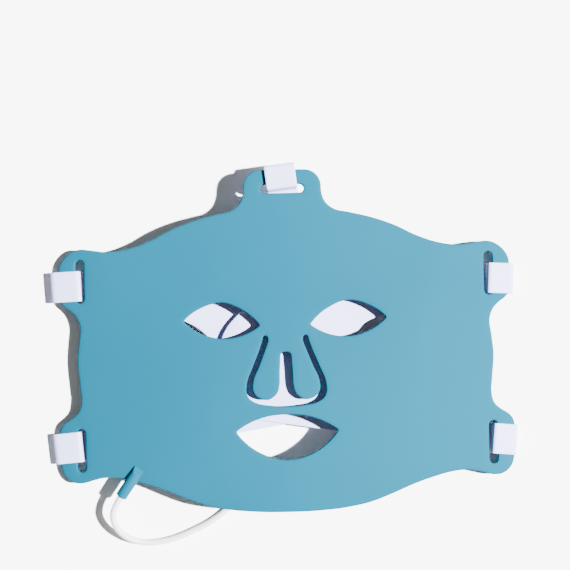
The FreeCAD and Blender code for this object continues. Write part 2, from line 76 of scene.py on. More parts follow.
def makeCamera():
    data = bpy.data.cameras.new("viewCamera")
    data.sensor_width = 36
    data.lens = 36 * view["distance"] / view["span"]
    data.clip_end = 20
    camera = bpy.data.objects.new("viewCamera", data)
    bpy.context.scene.collection.objects.link(camera)
    upwards = view["aim"][1] - view["over"]
    data.shift_y = upwards / view["span"]
    sideways = upwards * math.tan(view["tilt"])
    height = view["distance"] + view["level"]
    camera.location = (view["aim"][0] - sideways, view["over"] - dome["drawingShift"], height)
    camera.rotation_euler = (0, 0, -view["tilt"])
    bpy.context.scene.camera = camera
    print("camera made")


lighting = {
    "sun": {"energy": 38, "angle": 2.0, "elevation": 52, "azimuth": -1},
    "world": 0.25,
}


def makeLights():
    sun = bpy.data.lights.new("windowSun", "SUN")
    sun.energy = lighting["sun"]["energy"]
    sun.angle = math.radians(lighting["sun"]["angle"])
    lamp = bpy.data.objects.new("windowSun", sun)
    bpy.context.scene.collection.objects.link(lamp)
    up = math.radians(lighting["sun"]["elevation"])
    bearing = math.radians(lighting["sun"]["azimuth"])
    towards = Vector((math.cos(bearing) * math.cos(up), math.sin(bearing) * math.cos(up), math.sin(up)))
    lamp.rotation_euler = towards.to_track_quat("Z", "Y").to_euler()
    world = bpy.data.worlds.new("softWorld")
    bpy.context.scene.world = world
    world.use_nodes = True
    world.node_tree.nodes["Background"].inputs[0].default_value = (1, 1, 1, 1)
    world.node_tree.nodes["Background"].inputs[1].default_value = lighting["world"]


def newMaterial(name, colour, roughness, **sockets):
    material = bpy.data.materials.new(name)
    material.use_nodes = True
    shader = material.node_tree.nodes["Principled BSDF"]
    shader.inputs["Base Color"].default_value = (*colour, 1)
    shader.inputs["Roughness"].default_value = roughness
    for key, value in sockets.items():
        shader.inputs[key].default_value = value
    return material, shader


def node(material, kind, **values):
    made = material.node_tree.nodes.new(kind)
    for key, value in values.items():
        if key in made.inputs:
            made.inputs[key].default_value = value
        else:
            setattr(made, key, value)
    return made


def wire(material, source, output, target, socket):
    material.node_tree.links.new(source.outputs[output], target.inputs[socket])


def mapped(material, source="Object"):
    # coordinates in metres: the piece's own, or along and across a band
    coordinates = node(material, "ShaderNodeTexCoord")
    mapping = node(material, "ShaderNodeMapping")
    wire(material, coordinates, source, mapping, "Vector")
    return mapping


def mottle(material, shader, colourA, colourB, scale):
    # slow colour change between two close tones
    mapping = mapped(material)
    grain = node(material, "ShaderNodeTexNoise", Scale=scale, Detail=3)
    ramp = node(material, "ShaderNodeValToRGB")
    ramp.color_ramp.elements[0].position = 0.3
    ramp.color_ramp.elements[1].position = 0.7
    ramp.color_ramp.elements[0].color = (*colourA, 1)
    ramp.color_ramp.elements[1].color = (*colourB, 1)
    wire(material, mapping, "Vector", grain, "Vector")
    wire(material, grain, "Fac", ramp, "Fac")
    wire(material, ramp, "Color", shader, "Base Color")
    return mapping


def bumpFrom(material, shader, texture, output, strength, distance):
    bump = node(material, "ShaderNodeBump", Strength=strength, Distance=distance)
    wire(material, texture, output, bump, "Height")
    wire(material, bump, "Normal", shader, "Normal")


def siliconeFinish():
    material, shader = newMaterial("tealSilicone", (0.0001, 0.057, 0.094), 0.6)
    shader.inputs["Specular IOR Level"].default_value = 0.025
    mapping = mottle(material, shader, (0.0001, 0.054, 0.090), (0.0002, 0.060, 0.098), 9)
    fine = node(material, "ShaderNodeTexNoise", Scale=700, Detail=2)
    wire(material, mapping, "Vector", fine, "Vector")
    bumpFrom(material, shader, fine, "Fac", 0.08, 0.0001)
    return material


def linerPaintedShadeFinish():
    # painted shade: the liner's base and mottle tones are made darker than a clear liner would be, so that it
    # sends back little light and the shade under the mask comes out darker
    material, shader = newMaterial("clearLinerPaintedShade", (0.11, 0.17, 0.20), 0.35)
    shader.inputs["Transmission Weight"].default_value = 0.6
    shader.inputs["IOR"].default_value = 1.41
    mapping = mottle(material, shader, (0.10, 0.16, 0.19), (0.13, 0.19, 0.22), 30)
    fine = node(material, "ShaderNodeTexNoise", Scale=900, Detail=2)
    wire(material, mapping, "Vector", fine, "Vector")
    bumpFrom(material, shader, fine, "Fac", 0.2, 0.0001)
    return material


def plainFinish(name, dark, light, roughness, metal=0.0, scale=400):
    # small parts: two close tones and a fine surface
    material, shader = newMaterial(name, light, roughness, Metallic=metal)
    mapping = mottle(material, shader, dark, light, scale)
    fine = node(material, "ShaderNodeTexNoise", Scale=2600, Detail=2)
    wire(material, mapping, "Vector", fine, "Vector")
    bumpFrom(material, shader, fine, "Fac", 0.15, 0.00005)
    return material


def webbingFinish(name, pitch):
    # knitted elastic: fine ribs along the band, crossed by the weft
    material, shader = newMaterial(name, (0.39, 0.40, 0.66), 0.9)
    shader.inputs["Specular IOR Level"].default_value = 0.15
    mapping = mapped(material, "UV")
    perMetre = math.pi / 10
    ribs = node(material, "ShaderNodeTexWave", Scale=perMetre / pitch, Distortion=0.6)
    ribs.bands_direction = "Y"
    weft = node(material, "ShaderNodeTexWave", Scale=perMetre / pitch * 1.6, Distortion=0.9)
    weft.bands_direction = "X"
    fuzz = node(material, "ShaderNodeTexNoise", Scale=1600, Detail=3)
    join = node(material, "ShaderNodeMath", operation="MULTIPLY_ADD")
    addFuzz = node(material, "ShaderNodeMath", operation="MULTIPLY_ADD")
    join.inputs[1].default_value = 0.6
    addFuzz.inputs[1].default_value = 0.9
    for texture in (ribs, weft, fuzz):
        wire(material, mapping, "Vector", texture, "Vector")
    wire(material, ribs, "Fac", join, 0)
    wire(material, weft, "Fac", join, 2)
    wire(material, fuzz, "Fac", addFuzz, 0)
    wire(material, join, "Value", addFuzz, 2)
    bumpFrom(material, shader, addFuzz, "Value", 0.32, 0.0002)
    ramp = node(material, "ShaderNodeValToRGB")
    ramp.color_ramp.elements[0].color = (0.34, 0.35, 0.57, 1)
    ramp.color_ramp.elements[1].color = (0.42, 0.43, 0.70, 1)
    ramp.color_ramp.elements[1].position = 0.75
    scaleDown = node(material, "ShaderNodeMath", operation="MULTIPLY")
    scaleDown.inputs[1].default_value = 0.45
    wire(material, addFuzz, "Value", scaleDown, 0)
    wire(material, scaleDown, "Value", ramp, "Fac")
    wire(material, ramp, "Color", shader, "Base Color")
    return material


finishes = {}


def makeFinishes():
    finishes["silicone"] = siliconeFinish()
    finishes["liner"] = linerPaintedShadeFinish()
    finishes["film"] = plainFinish("circuitFilm", (0.55, 0.24, 0.05), (0.66, 0.31, 0.08), 0.4, scale=60)
    finishes["redLamp"] = plainFinish("lampYellow", (0.80, 0.66, 0.30), (0.90, 0.80, 0.46), 0.25)
    finishes["darkLamp"] = plainFinish("lampDark", (0.12, 0.11, 0.15), (0.20, 0.18, 0.22), 0.2)
    finishes["resistor"] = plainFinish("resistorBlack", (0.012, 0.012, 0.014), (0.03, 0.03, 0.033), 0.5)
    finishes["wire"] = plainFinish("wireRed", (0.45, 0.02, 0.015), (0.6, 0.03, 0.02), 0.4)
    finishes["solder"] = plainFinish("solderTin", (0.45, 0.46, 0.48), (0.62, 0.63, 0.65), 0.32, 1.0)
    finishes["cord"] = plainFinish("cordWhite", (0.42, 0.425, 0.455), (0.46, 0.465, 0.495), 0.45, scale=120)
    finishes["plug"] = plainFinish("plugWhite", (0.78, 0.79, 0.83), (0.83, 0.84, 0.87), 0.38, scale=150)
    finishes["steel"] = plainFinish("plugSteel", (0.52, 0.53, 0.55), (0.66, 0.67, 0.69), 0.25, 1.0)
    finishes["gold"] = plainFinish("contactGold", (0.75, 0.50, 0.16), (0.85, 0.60, 0.22), 0.25, 1.0)
    finishes["tie"] = plainFinish("tieBlack", (0.02, 0.02, 0.022), (0.05, 0.05, 0.055), 0.9, scale=900)
    finishes["webbing"] = webbingFinish("elasticWebbing", 0.9 * mm)
    finishes["band"] = webbingFinish("bandFabric", 0.75 * mm)
    finishes["floor"], floorShader = newMaterial("whiteTable", (0.86, 0.86, 0.86), 0.8)
    mottle(finishes["floor"], floorShader, (0.85, 0.85, 0.85), (0.87, 0.87, 0.87), 3)
    print("finishes made")


def newPiece(name, vertices, faces, finish, body):
    mesh = bpy.data.meshes.new(name)
    mesh.from_pydata([tuple(v) for v in vertices], [], faces)
    tidy = bmesh.new()
    tidy.from_mesh(mesh)
    bmesh.ops.remove_doubles(tidy, verts=tidy.verts, dist=1e-6)
    bmesh.ops.dissolve_degenerate(tidy, dist=1e-7, edges=tidy.edges)
    bmesh.ops.recalc_face_normals(tidy, faces=tidy.faces)
    tidy.to_mesh(mesh)
    tidy.free()
    piece = bpy.data.objects.new(name, mesh)
    bpy.context.scene.collection.objects.link(piece)
    mesh.materials.append(finish)
    mesh.shade_smooth()
    if body:
        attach(piece, body)
    return piece


def surfaceLoops(nodeName, below):
    # the closed edges of a CAD piece's face that lies a given depth under the dome
    mesh = nodes[nodeName].data
    count = {}
    onLayer = {}
    places = {}
    keyOf = {}
    for v in mesh.vertices:
        key = tuple(round(c, 6) for c in v.co)
        keyOf[v.index] = key
        places[key] = v.co
        gap = abs(v.co.z - domeHeight(v.co.x, v.co.y, below))
        onLayer[key] = gap < 0.06 * mm
    for face in mesh.polygons:
        ring = [keyOf[i] for i in face.vertices]
        if not all(onLayer[key] for key in ring) or abs(face.normal.z) < 0.8:
            continue
        for a, b in zip(ring, ring[1:] + ring[:1]):
            count[(a, b)] = count.get((a, b), 0) + 1
    after = {a: b for (a, b) in count if (b, a) not in count}
    loops = []
    while after:
        start = next(iter(after))
        loop = [start]
        step = after.pop(start)
        while step != start and step in after:
            loop.append(step)
            step = after.pop(step)
        loops.append([Vector(places[key][:2]) for key in loop])
    return loops


def loopArea(loop):
    return sum(a.x * b.y - b.x * a.y for a, b in zip(loop, loop[1:] + loop[:1])) / 2


def evenRun(run, spacing):
    # evenly spaced points along an open line, without its last point
    lengths = [0]
    for a, b in zip(run, run[1:]):
        lengths.append(lengths[-1] + (b - a).length)
    steps = max(2, round(lengths[-1] / spacing))
    result = []
    j = 0
    for s in range(steps):
        wanted = lengths[-1] * s / steps
        while lengths[j + 1] < wanted:
            j += 1
        share = (wanted - lengths[j]) / max(lengths[j + 1] - lengths[j], 1e-9)
        result.append(run[j].lerp(run[j + 1], share))
    return result


def resample(loop, spacing, corner=math.radians(35)):
    # even points along a closed line; sharp corners keep their own point
    points = [p for i, p in enumerate(loop) if (p - loop[i - 1]).length > 1e-6]
    count = len(points)
    corners = []
    for i in range(count):
        into = points[i] - points[i - 1]
        out = points[(i + 1) % count] - points[i]
        if abs(into.angle_signed(out)) > corner:
            corners.append(i)
    if not corners:
        corners = [0]
    result = []
    for k, start in enumerate(corners):
        end = corners[(k + 1) % len(corners)]
        run = [points[start]]
        i = start
        while True:
            i = (i + 1) % count
            run.append(points[i])
            if i == end:
                break
        result += evenRun(run, spacing)
    return result


def relax(loop, rounds):
    # rounds off corners a little and evens out the joins between arcs
    for _ in range(rounds):
        loop = [loop[i - 1] * 0.25 + p * 0.5 + loop[(i + 1) % len(loop)] * 0.25 for i, p in enumerate(loop)]
    return loop


def insideMask(points, loops):
    # even-odd test of many points against all loops at once
    points = np.array(points)
    odd = np.zeros(len(points), bool)
    for loop in loops:
        a = np.array([p[:] for p in loop])
        b = np.roll(a, -1, axis=0)
        for (ax, ay), (bx, by) in zip(a, b):
            if ay == by:
                continue
            crosses = (points[:, 1] > ay) != (points[:, 1] > by)
            at = ax + (points[:, 1] - ay) * (bx - ax) / (by - ay)
            odd ^= crosses & (points[:, 0] < at)
    return odd


def sliver(corners):
    # a triangle whose corners lie on one straight line
    a, b, c = corners
    longest = max((b - a).length, (c - b).length, (a - c).length)
    return abs((b - a).cross(c - a)) < 2e-4 * longest * longest


def fillBetween(loops, spacing):
    # triangles that fill the area between closed lines, with an even grid of points inside
    vertices = [p.copy() for loop in loops for p in loop]
    edges = []
    start = 0
    for loop in loops:
        edges += [(start + i, start + (i + 1) % len(loop)) for i in range(len(loop))]
        start += len(loop)
    tree = kdtree.KDTree(len(vertices))
    for i, p in enumerate(vertices):
        tree.insert((p.x, p.y, 0), i)
    tree.balance()
    low = np.min([p[:] for p in vertices], axis=0)
    high = np.max([p[:] for p in vertices], axis=0)
    grid = []
    rowHeight = spacing * 0.866
    for row in range(int((high[1] - low[1]) / rowHeight) + 1):
        for column in range(int((high[0] - low[0]) / spacing) + 1):
            x = low[0] + (column + 0.5 * (row % 2)) * spacing
            grid.append((x, low[1] + row * rowHeight))
    keep = insideMask(grid, loops)
    for (x, y), inside in zip(grid, keep):
        if inside and tree.find((x, y, 0))[2] > spacing * 0.55:
            vertices.append(Vector((x, y)))
    result = delaunay_2d_cdt(vertices, edges, [], 0, 1e-7)
    points, triangles = result[0], result[2]
    centres = [sum((points[i] for i in face), Vector((0, 0))) / len(face) for face in triangles]
    inside = insideMask([c[:] for c in centres], loops)
    faces = [list(face) for face, yes in zip(triangles, inside)
             if yes and not sliver([points[i] for i in face])]
    return points, faces


def inwardNormals(loop):
    # unit directions from the line into the material; the outline turns left, the openings right
    result = []
    for i, p in enumerate(loop):
        along = (loop[(i + 1) % len(loop)] - p).normalized() + (p - loop[i - 1]).normalized()
        along.normalize()
        result.append(Vector((-along.y, along.x)))
    return result


def softSheet(loops, top, bottom, radius, spacing, steps=4, rooms=None, ceiling=None):
    # a sheet with rounded edges between two height functions; rooms are recesses in its underside
    vertices = []
    faces = []
    innerLoops = []
    for loop in loops:
        normals = inwardNormals(loop)
        rings = []
        for level in range(2 * steps + 2):
            upper = level <= steps
            angle = math.pi / 2 * (1 - level / steps if upper else (level - steps - 1) / steps)
            inset = radius * (1 - math.cos(angle))
            drop = radius * (1 - math.sin(angle))
            ring = []
            for p, n in zip(loop, normals):
                at = p + n * inset
                height = top(at.x, at.y) - drop if upper else bottom(at.x, at.y) + drop
                ring.append(len(vertices))
                vertices.append((at.x, at.y, height))
            rings.append(ring)
        innerLoops.append([p + n * radius for p, n in zip(loop, normals)])
        for a, b in zip(rings, rings[1:]):
            for i in range(len(loop)):
                j = (i + 1) % len(loop)
                faces.append((a[i], b[i], b[j], a[j]))
    points, triangles = fillBetween(innerLoops, spacing)
    base = len(vertices)
    vertices += [(p.x, p.y, top(p.x, p.y)) for p in points]
    faces += [tuple(base + i for i in face) for face in triangles]
    if rooms:
        points, triangles = fillBetween(innerLoops + rooms, spacing * 1.4)
        base = len(vertices)
        vertices += [(p.x, p.y, bottom(p.x, p.y)) for p in points]
        faces += [tuple(base + i for i in reversed(face)) for face in triangles]
        points, triangles = fillBetween(rooms, spacing * 1.6)
        base = len(vertices)
        vertices += [(p.x, p.y, ceiling(p.x, p.y)) for p in points]
        faces += [tuple(base + i for i in reversed(face)) for face in triangles]
        for loop in rooms:
            base = len(vertices)
            vertices += [(p.x, p.y, bottom(p.x, p.y)) for p in loop]
            vertices += [(p.x, p.y, ceiling(p.x, p.y)) for p in loop]
            size = len(loop)
            for i in range(size):
                j = (i + 1) % size
                faces.append((base + i, base + size + i, base + size + j, base + j))
    else:
        base = len(vertices)
        vertices += [(p.x, p.y, bottom(p.x, p.y)) for p in points]
        faces += [tuple(base + i for i in reversed(face)) for face in triangles]
    return vertices, faces


mask = {
    "edgeRadius": 1.05 * mm,
    "edgeSpacing": 1.2 * mm,
    "holeSpacing": 0.75 * mm,
    "gridSpacing": 2.6 * mm,
    "waviness": 0.22 * mm,
    "waveLength": 46 * mm,
    "seamHeight": 0.25 * mm,      # where the nose flap begins, just above its hinge line
    "hingeHalfWidth": 10.75 * mm,
    "roomEdgeSpacing": 2.0 * mm,
    "hingeLevel": 23.5 * mm,
    "smallestLoop": 20 * mm * mm,     # closed lines of a smaller area are faults of the mesh
    "outlineArea": 10000 * mm * mm,   # only the outline is larger than this
    "flapTip": Vector((-11.7, -33, 22)) * mm,
}


def softWave(x, y):
    # the slight unevenness of a soft moulding; none at the rims of the strap slots
    slow = noise.noise(Vector((x / mask["waveLength"], y / mask["waveLength"], 3.7)))
    slower = noise.noise(Vector((x / mask["waveLength"] / 2.3, y / mask["waveLength"] / 2.3, 9.1)))
    ears = min(1.0, max(0.0, (112 * mm - abs(x)) / (20 * mm)))
    return mask["waviness"] * (slow + 1.2 * slower) * ears


def frontHeight(x, y):
    return domeHeight(x, y) + softWave(x, y)


def backHeight(x, y):
    return domeHeight(x, y, dome["thickness"]) + softWave(x, y)


def roomHeight(x, y):
    return domeHeight(x, y, dome["roomDepth"]) + 0.03 * mm


sleeve = {
    "top": Vector((-90.3, -76.1, 14.8)) * mm - Vector((0, dome["drawingShift"], 0)),
    "axis": Vector((-0.575, -0.818, -0.03)).normalized(),
    "length": 21 * mm,
    "radius": 3.45 * mm,
    "slant": 4.6 * mm,
    "slantStart": 0.28,               # share of the radius left at the slanted end
}


def nearSleeve(p):
    gap = p - sleeve["top"].to_2d()
    along = gap.dot(sleeve["axis"].to_2d().normalized())
    across = abs(gap.cross(sleeve["axis"].to_2d().normalized()))
    return across < sleeve["radius"] + 0.3 * mm and along > -1 * mm


def largeLoops(nodeName, below):
    return [loop for loop in surfaceLoops(nodeName, below) if abs(loopArea(loop)) > mask["smallestLoop"]]


def maskLoops():
    # the sheet's outline and openings, the nose opening and its flap joined into one line
    flap = max(surfaceLoops("nose_flap", 0), key=lambda loop: abs(loopArea(loop)))
    half = mask["hingeHalfWidth"]
    result = []
    for loop in largeLoops("front_cover", 0):
        if abs(loopArea(loop)) > mask["outlineArea"]:
            loop = [p for p in loop if not nearSleeve(p)]
        result.append(loop)
    # the nose opening is the one that reaches the hinge line on both sides
    nose = min(result, key=lambda loop: min((p - Vector((half, 0))).length for p in loop)
               + min((p + Vector((half, 0))).length for p in loop))
    result.remove(nose)

    def opened(loop):
        # the part of a closed line away from the hinge, in order
        keep = [abs(p.x) > half + 0.005 * mm or p.y < -1.2 * mm for p in loop]
        start = next(i for i in range(len(loop)) if keep[i] and not keep[i - 1])
        return [loop[(start + i) % len(loop)] for i in range(len(loop)) if keep[(start + i) % len(loop)]]

    outer = opened(nose)
    inner = opened(flap)
    if (outer[-1] - inner[0]).length > (outer[-1] - inner[-1]).length:
        inner.reverse()
    result.append(outer + inner)
    ready = []
    for loop in result:
        outline = abs(loopArea(loop)) > mask["outlineArea"]
        loop = relax(resample(loop, mask["edgeSpacing"] if outline else mask["holeSpacing"]), 2)
        if (loopArea(loop) > 0) != outline:
            loop.reverse()
        ready.append(loop)
    return ready


def makeMask():
    loops = maskLoops()
    print("mask loops", [(len(loop), round(loopArea(loop) * 1e6)) for loop in loops])
    rooms = [resample(loop, mask["roomEdgeSpacing"]) for loop in largeLoops("front_cover", dome["roomDepth"])]
    vertices, faces = softSheet(
        loops, frontHeight, backHeight, mask["edgeRadius"], mask["gridSpacing"], 4, rooms, roomHeight)
    piece = newPiece("siliconeMask", vertices, faces, finishes["silicone"], None)
    flap = splitFlap(piece)
    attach(piece, "mask")
    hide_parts("front_cover")
    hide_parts("nose_flap")
    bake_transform(flap)
    print("mask made")
    return piece


def splitFlap(piece):
    # cuts the nose flap off the sheet along its hinge line, with both cut ends closed
    seam = mask["seamHeight"]
    work = bmesh.new()
    work.from_mesh(piece.data)
    reach = mask["hingeHalfWidth"] + 1.2 * mm
    near = [f for f in work.faces
            if all(abs(v.co.x) < reach + 3 * mm and abs(v.co.y - seam) < 6 * mm for v in f.verts)
            and abs(f.calc_center_median().x) < reach]
    geometry = near + list({e for f in near for e in f.edges}) + list({v for f in near for v in f.verts})
    cut = bmesh.ops.bisect_plane(work, geom=geometry, plane_co=(0, seam, 0), plane_no=(0, 1, 0), dist=1e-6)
    seamEdges = [e for e in cut["geom_cut"] if isinstance(e, bmesh.types.BMEdge)]
    bmesh.ops.split_edges(work, edges=seamEdges)
    work.faces.ensure_lookup_table()
    tipFace = min(work.faces, key=lambda f: (f.calc_center_median() - mask["flapTip"]).length)
    flapFaces = {tipFace}
    front = [tipFace]
    while front:
        face = front.pop()
        for edge in face.edges:
            for other in edge.link_faces:
                if other not in flapFaces:
                    flapFaces.add(other)
                    front.append(other)
    flapWork = work.copy()
    work.faces.index_update()
    flapIndex = {f.index for f in flapFaces}
    flapWork.faces.ensure_lookup_table()
    flapWork.faces.index_update()
    bmesh.ops.delete(work, geom=[f for f in work.faces if f.index in flapIndex], context="FACES")
    bmesh.ops.delete(flapWork, geom=[f for f in flapWork.faces if f.index not in flapIndex], context="FACES")
    for part in (work, flapWork):
        rim = [e for e in part.edges if e.is_boundary]
        made = bmesh.ops.holes_fill(part, edges=rim, sides=0)
        for edge in rim:
            edge.smooth = False
        for face in made["faces"]:
            face.smooth = False
    work.to_mesh(piece.data)
    data = bpy.data.meshes.new("noseFlapSoft")
    flapWork.to_mesh(data)
    flap = bpy.data.objects.new("noseFlapSoft", data)
    bpy.context.scene.collection.objects.link(flap)
    data.materials.append(finishes["silicone"])
    work.free()
    flapWork.free()
    return flap


def makeFloor():
    bpy.ops.mesh.primitive_plane_add(size=6, location=(0, 0, -0.0001))
    floor = bpy.context.object
    floor.name = "tableTop"
    floor.data.materials.append(finishes["floor"])


cord = {
    "radius": 1.9 * mm,
    "length": 1.19,
    "exit": Vector((-102.4, -93.3, 14.2)) * mm - Vector((0, dome["drawingShift"], 0)),
    "route": [
        (-102.4, -93.3, 14.2), (-108, -101.3, 13.4), (-107, -111.2, 10.2), (-101.2, -118.2, 6.4),
        (-93, -122, 3.4), (-82.5, -122.9, 2.1), (-70.8, -120.6, 1.95), (-58.8, -115.9, 1.95),
        (-46.5, -109.8, 1.95), (-36.5, -101.8, 1.95), (-24, -93.5, 1.95), (-9, -89.3, 1.95),
        (8.5, -87.6, 1.95), (25, -83.4, 1.95), (38, -73.3, 1.95), (46.6, -60, 1.95),
        (53.5, -46.5, 1.95), (57.2, -31.5, 2.1), (57.6, -17.5, 2.5),
    ],
    "plugRoute": [
        (70.5, -43.2, 2.1), (59.5, -50.2, 1.95), (55, -61.7, 1.95), (59.5, -71.8, 2.4), (69.5, -76, 3),
        (77, -76.2, 3),
    ],
    "coilCentre": (84, -15),
    "coilLayers": (2.5, 6.3),
    "coilRadii": (26.7, 15.2, 27.8),      # outside, inside, and where it leaves
    "coilTurns": (3.0, 0.5, 3.25),        # inwards below, the step up, outwards above
    "pointsPerTurn": 16,
}


def smoothStep(t):
    t = min(1.0, max(0.0, t))
    return t * t * (3 - 2 * t)


def coilPoints():
    # clockwise from the coil's left side: in along the lower layer, up, and out along the upper one
    low, high = cord["coilLayers"]
    outside, inside, leave = cord["coilRadii"]
    inTurns, stepTurns, outTurns = cord["coilTurns"]
    total = inTurns + stepTurns + outTurns
    count = round(total * cord["pointsPerTurn"])
    spread = 1 / math.cos(math.pi / cord["pointsPerTurn"])
    points = []
    for i in range(1, count + 1):
        turn = i / cord["pointsPerTurn"]
        radius = outside + (inside - outside) * min(1.0, turn / inTurns)
        height = low + (high - low) * smoothStep((turn - inTurns) / 0.3)
        if turn > inTurns + stepTurns:
            radius = inside + (leave - inside) * (turn - inTurns - stepTurns) / outTurns
        height -= (high - low - 0.6) * smoothStep((turn - total + 0.3) / 0.3)
        angle = math.pi - 2 * math.pi * turn
        x = cord["coilCentre"][0] + radius * spread * math.cos(angle)
        points.append((x, cord["coilCentre"][1] + radius * spread * math.sin(angle), height))
    return points


def makeCord():
    points = cord["route"] + coilPoints() + cord["plugRoute"]
    curve = bpy.data.curves.new("powerLead", "CURVE")
    curve.dimensions = "3D"
    line = curve.splines.new("NURBS")
    line.points.add(len(points) - 1)
    for point, (x, y, z) in zip(line.points, points):
        point.co = (x * mm, y * mm - dome["drawingShift"], z * mm, 1)
    line.order_u = 3
    line.use_endpoint_u = True
    line.resolution_u = 8
    curve.bevel_depth = cord["radius"]
    curve.bevel_resolution = 5
    curve.use_fill_caps = True
    curve.materials.append(finishes["cord"])
    lead = bpy.data.objects.new("powerLead", curve)
    bpy.context.scene.collection.objects.link(lead)
    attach(lead, "mask")
    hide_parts("power_cable", "cable_coil")
    return lead


def lathe(name, profile, start, axis, finish, segments=56):
    # a round piece: profile is (distance along the axis, radius), from one end to the other
    axis = axis.normalized()
    side = axis.cross(Vector((0, 0, 1))).normalized()
    up = side.cross(axis)
    vertices = []
    for along, radius in profile:
        for k in range(segments):
            angle = 2 * math.pi * k / segments
            vertices.append(start + axis * along + (side * math.cos(angle) + up * math.sin(angle)) * radius)
    faces = []
    for ring in range(len(profile) - 1):
        for k in range(segments):
            after = (k + 1) % segments
            faces.append((ring * segments + k, ring * segments + after,
                          (ring + 1) * segments + after, (ring + 1) * segments + k))
    faces.append(tuple(range(segments)))
    faces.append(tuple(reversed(range((len(profile) - 1) * segments, len(profile) * segments))))
    return newPiece(name, vertices, faces, finish, "mask")


def makeSleeve():
    length = sleeve["length"]
    radius = sleeve["radius"]
    bore = cord["radius"] + 0.08 * mm
    profile = [(0, radius - 0.25 * mm), (0.25 * mm, radius)]
    profile += [(along * 0.35 * mm, radius) for along in range(2, 20)]
    profile += [
        (length * 0.5, radius), (length - 0.5 * mm, radius), (length - 0.15 * mm, radius - 0.15 * mm),
        (length, radius - 0.45 * mm), (length, bore + 0.25 * mm), (length - 0.2 * mm, bore),
        (length - 2.5 * mm, bore),
    ]
    piece = lathe("sleeveSoft", profile, sleeve["top"], sleeve["axis"], finishes["silicone"])
    # its upper end is cut on a slant
    for v in piece.data.vertices:
        along = (v.co - sleeve["top"]).dot(sleeve["axis"])
        level = sleeve["top"] + sleeve["axis"] * along
        ceiling = radius * (sleeve["slantStart"] + (1 - sleeve["slantStart"]) * along / sleeve["slant"])
        if along < sleeve["slant"] and v.co.z - level.z > ceiling:
            v.co.z = level.z + ceiling
    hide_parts("cable_sleeve")
    print("sleeve made")


plug = {
    "rear": Vector((77, -76.2, 3)) * mm - Vector((0, dome["drawingShift"], 0)),
    "bootLength": 7 * mm,
    "ribs": 4,
    # along one rib as a share of its length, and how far it stands out in millimetres
    "ribShape": ((0.08, 0.0), (0.16, 0.06), (0.6, 0.08), (0.68, 0.02), (0.74, -0.22), (0.94, -0.22)),
}


def makeBoot():
    # ribbed strain relief, wider towards the plug
    length = plug["bootLength"]
    profile = [(0, cord["radius"] + 0.02 * mm), (0.15 * mm, cord["radius"] + 0.25 * mm)]
    for rib in range(plug["ribs"]):
        share = rib / plug["ribs"]
        start = 0.3 * mm + (length - 0.8 * mm) * share
        radius = cord["radius"] + 0.3 * mm + 0.6 * mm * share
        step = (length - 0.8 * mm) / plug["ribs"]
        for along, grow in plug["ribShape"]:
            profile.append((start + step * along, radius + grow * mm))
    profile += [(length - 0.45 * mm, 2.85 * mm), (length, 2.88 * mm)]
    forward = Vector((1, 0, 0))
    boot = lathe("plugBootRibbed", profile, plug["rear"], forward, finishes["plug"], 40)
    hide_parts("plug_boot")
    return boot


webbing = {
    "width": 18.5 * mm,
    "thickness": 0.9 * mm,
    "spacing": 1.1 * mm,
    "columns": 18,
}


def roundedPath(points, cuts, spacing):
    # straight runs with each corner rounded over its own distance
    points = [Vector(point) * mm for point in points]
    line = [points[0]]
    for before, corner, after, cut in zip(points, points[1:], points[2:], cuts):
        start = corner + (before - corner).normalized() * cut * mm
        end = corner + (after - corner).normalized() * cut * mm
        for step in range(9):
            t = step / 8
            line.append(start.lerp(corner, t).lerp(corner.lerp(end, t), t))
    line.append(points[-1])
    return evenRun(line, spacing) + [points[-1]]


def setWeave(piece, coordinates):
    # lays the weave along the piece, in metres
    layer = piece.data.uv_layers.new(name="weave")
    for corner in piece.data.loops:
        layer.data[corner.index].uv = coordinates[corner.vertex_index]


def ribbon(name, line, width, thickness, place, turn, finish, body, skew=0.0, ripple=0.0):
    # a woven band that follows a side-on line, with rounded selvedges
    along = Vector((math.cos(turn), math.sin(turn), 0))
    across = Vector((-math.sin(turn), math.cos(turn), 0))
    half = width / 2
    thick = thickness / 2
    edge = 0.3 * mm
    columns = webbing["columns"]
    upper = [(-half + edge + (width - 2 * edge) * k / columns, thick) for k in range(columns + 1)]
    section = upper + [(half, thick * 0.35), (half, -thick * 0.35)]
    section += [(v, -h) for v, h in reversed(upper)] + [(-half, -thick * 0.35), (-half, thick * 0.35)]
    size = len(section)
    vertices = []
    weave = []
    travelled = 0.0
    for i, point in enumerate(line):
        tangent = line[min(i + 1, len(line) - 1)] - line[max(i - 1, 0)]
        tangent.normalize()
        if i:
            travelled += (point - line[i - 1]).length
        sideways = skew * (1 - i / (len(line) - 1))
        for v, h in section:
            wave = ripple * noise.noise(Vector((travelled * 70, v * 55, place.x * 31)))
            offset = h + wave
            spot = along * (point.x - tangent.y * offset) + Vector((0, 0, point.y + tangent.x * offset))
            vertices.append(place + spot + across * (v + sideways))
            weave.append((travelled, v))
    faces = [tuple(range(size)), tuple(reversed(range(len(vertices) - size, len(vertices))))]
    for i in range(len(line) - 1):
        for k in range(size):
            after = (k + 1) % size
            faces.append((i * size + k, i * size + after, (i + 1) * size + after, (i + 1) * size + k))
    piece = newPiece(name, vertices, faces, finish, body)
    setWeave(piece, weave)
    return piece, travelled


earLoops = {
    # y at the rim, turn, outline and slot x, how far each fold stands out, left then right
    "upper": {
        "y": 35.4, "tilt": 3.0, "edge": 138.5, "slot": 125.0, "folds": (142.4, 140.3), "skew": (1.4, 0.3),
    },
    "lower": {
        "y": -62.6, "tilt": 5.5, "edge": 139.6, "slot": 126.2, "folds": (142.7, 140.6), "skew": (0.5, -0.4),
    },
}


def inMillimetres(height):
    return height / mm


